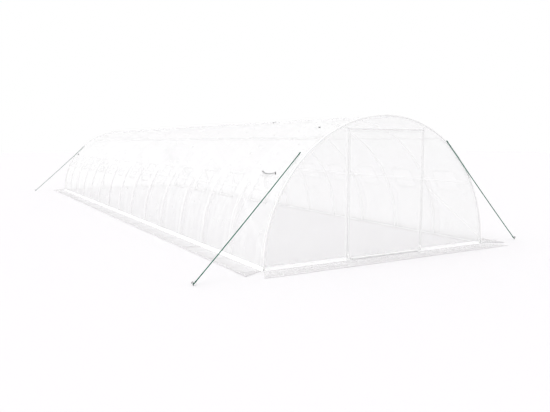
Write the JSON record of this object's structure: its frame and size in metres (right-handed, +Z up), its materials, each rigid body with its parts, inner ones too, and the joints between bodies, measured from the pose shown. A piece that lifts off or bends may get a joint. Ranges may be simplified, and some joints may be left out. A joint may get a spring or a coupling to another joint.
{
  "type": "greenhouse tent",
  "caption": "Half-round film greenhouse tunnel on steel hoops, with zip roll-up doors, window flaps, ground skirts and guy ropes.",
  "frame": {"origin": "on the ground, at the middle of the tunnel's length and width", "axes": "+Z up, +Y along the tunnel from the front end to the back end, +X to the right seen from the front end"},
  "size_m": [6.0016, 14.7962, 2],
  "materials": {
    "steel_tube": "galvanised tube, satin",
    "cover_film": "translucent white polyethylene film with a reinforcing grid",
    "end_film": "clearer translucent polyethylene film",
    "flap_film": "translucent white film, hemmed",
    "hem_webbing": "white woven hem over a bar",
    "zip_plastic": "moulded white zip slider",
    "green_rope": "dark green braided cord",
    "peg_steel": "dark coated steel rod"
  },
  "bodies": {
    "root": {"hoop_01": "steel_tube", "hoop_02": "steel_tube", "hoop_03": "steel_tube", "hoop_04": "steel_tube", "hoop_05": "steel_tube", "hoop_06": "steel_tube", "hoop_07": "steel_tube", "hoop_08": "steel_tube", "hoop_09": "steel_tube", "hoop_10": "steel_tube", "hoop_11": "steel_tube", "hoop_12": "steel_tube", "hoop_13": "steel_tube", "hoop_14": "steel_tube", "hoop_15": "steel_tube", "ridge_purlin": "steel_tube", "left_purlin": "steel_tube", "right_purlin": "steel_tube", "left_base_rail": "steel_tube", "right_base_rail": "steel_tube", "front_left_brace": "steel_tube", "front_right_brace": "steel_tube", "back_left_brace": "steel_tube", "back_right_brace": "steel_tube", "front_left_door_post": "steel_tube", "front_right_door_post": "steel_tube", "back_left_door_post": "steel_tube", "back_right_door_post": "steel_tube", "front_door_header": "steel_tube", "back_door_header": "steel_tube", "cover_left_wall": "cover_film", "cover_right_wall": "cover_film", "cover_roof": "cover_film", "front_end_wall": "end_film", "back_end_wall": "end_film", "front_door_curtain": "end_film", "back_door_curtain": "end_film", "front_left_guy_rope": "green_rope", "front_right_guy_rope": "green_rope", "back_left_guy_rope": "green_rope", "back_right_guy_rope": "green_rope", "front_left_peg": "peg_steel", "front_right_peg": "peg_steel", "back_left_peg": "peg_steel", "back_right_peg": "peg_steel"},
    "front_door": {"front_door_hem_roll": "hem_webbing"},
    "back_door": {"back_door_hem_roll": "hem_webbing"},
    "front_left_slider": {"front_left_zip_slider": "zip_plastic"},
    "front_right_slider": {"front_right_zip_slider": "zip_plastic"},
    "back_left_slider": {"back_left_zip_slider": "zip_plastic"},
    "back_right_slider": {"back_right_zip_slider": "zip_plastic"},
    "left_flaps_1": {"left_window_flaps_1": "flap_film"},
    "left_flaps_2": {"left_window_flaps_2": "flap_film"},
    "left_flaps_3": {"left_window_flaps_3": "flap_film"},
    "left_flaps_4": {"left_window_flaps_4": "flap_film"},
    "right_flaps_1": {"right_window_flaps_1": "flap_film"},
    "right_flaps_2": {"right_window_flaps_2": "flap_film"},
    "right_flaps_3": {"right_window_flaps_3": "flap_film"},
    "right_flaps_4": {"right_window_flaps_4": "flap_film"}
  },
  "joints": [
    {"name": "front_door_roll_up", "type": "slide", "parent": "root", "child": "front_door", "axis": [0, 0, 1], "range_m": [0, 1.65], "deforming": ["front_door_curtain"]},
    {"name": "back_door_roll_up", "type": "slide", "parent": "root", "child": "back_door", "axis": [0, 0, 1], "range_m": [0, 1.65], "deforming": ["back_door_curtain"]},
    {"name": "front_left_zip", "type": "slide", "parent": "root", "child": "front_left_slider", "axis": [0, 0, 1], "range_m": [0, 1.65]},
    {"name": "front_right_zip", "type": "slide", "parent": "root", "child": "front_right_slider", "axis": [0, 0, 1], "range_m": [0, 1.65]},
    {"name": "back_left_zip", "type": "slide", "parent": "root", "child": "back_left_slider", "axis": [0, 0, 1], "range_m": [0, 1.65]},
    {"name": "back_right_zip", "type": "slide", "parent": "root", "child": "back_right_slider", "axis": [0, 0, 1], "range_m": [0, 1.65]},
    {"name": "left_flaps_1_lift", "type": "hinge", "parent": "root", "child": "left_flaps_1", "pos_m": [-1.61949, -5.5, 1.17663], "axis": [0, 1, 0], "range_deg": [0, 150]},
    {"name": "left_flaps_2_lift", "type": "hinge", "parent": "root", "child": "left_flaps_2", "pos_m": [-1.61949, -2, 1.17663], "axis": [0, 1, 0], "range_deg": [0, 150]},
    {"name": "left_flaps_3_lift", "type": "hinge", "parent": "root", "child": "left_flaps_3", "pos_m": [-1.61949, 2, 1.17663], "axis": [0, 1, 0], "range_deg": [0, 150]},
    {"name": "left_flaps_4_lift", "type": "hinge", "parent": "root", "child": "left_flaps_4", "pos_m": [-1.61949, 5.5, 1.17663], "axis": [0, 1, 0], "range_deg": [0, 150]},
    {"name": "right_flaps_1_lift", "type": "hinge", "parent": "root", "child": "right_flaps_1", "pos_m": [1.61949, -5.5, 1.17663], "axis": [0, -1, 0], "range_deg": [0, 150]},
    {"name": "right_flaps_2_lift", "type": "hinge", "parent": "root", "child": "right_flaps_2", "pos_m": [1.61949, -2, 1.17663], "axis": [0, -1, 0], "range_deg": [0, 150]},
    {"name": "right_flaps_3_lift", "type": "hinge", "parent": "root", "child": "right_flaps_3", "pos_m": [1.61949, 2, 1.17663], "axis": [0, -1, 0], "range_deg": [0, 150]},
    {"name": "right_flaps_4_lift", "type": "hinge", "parent": "root", "child": "right_flaps_4", "pos_m": [1.61949, 5.5, 1.17663], "axis": [0, -1, 0], "range_deg": [0, 150]}
  ],
  "couplings": [
    {"joint": "front_left_zip", "follows": "front_door_roll_up", "ratio": 1},
    {"joint": "front_right_zip", "follows": "front_door_roll_up", "ratio": 1},
    {"joint": "back_left_zip", "follows": "back_door_roll_up", "ratio": 1},
    {"joint": "back_right_zip", "follows": "back_door_roll_up", "ratio": 1}
  ]
}
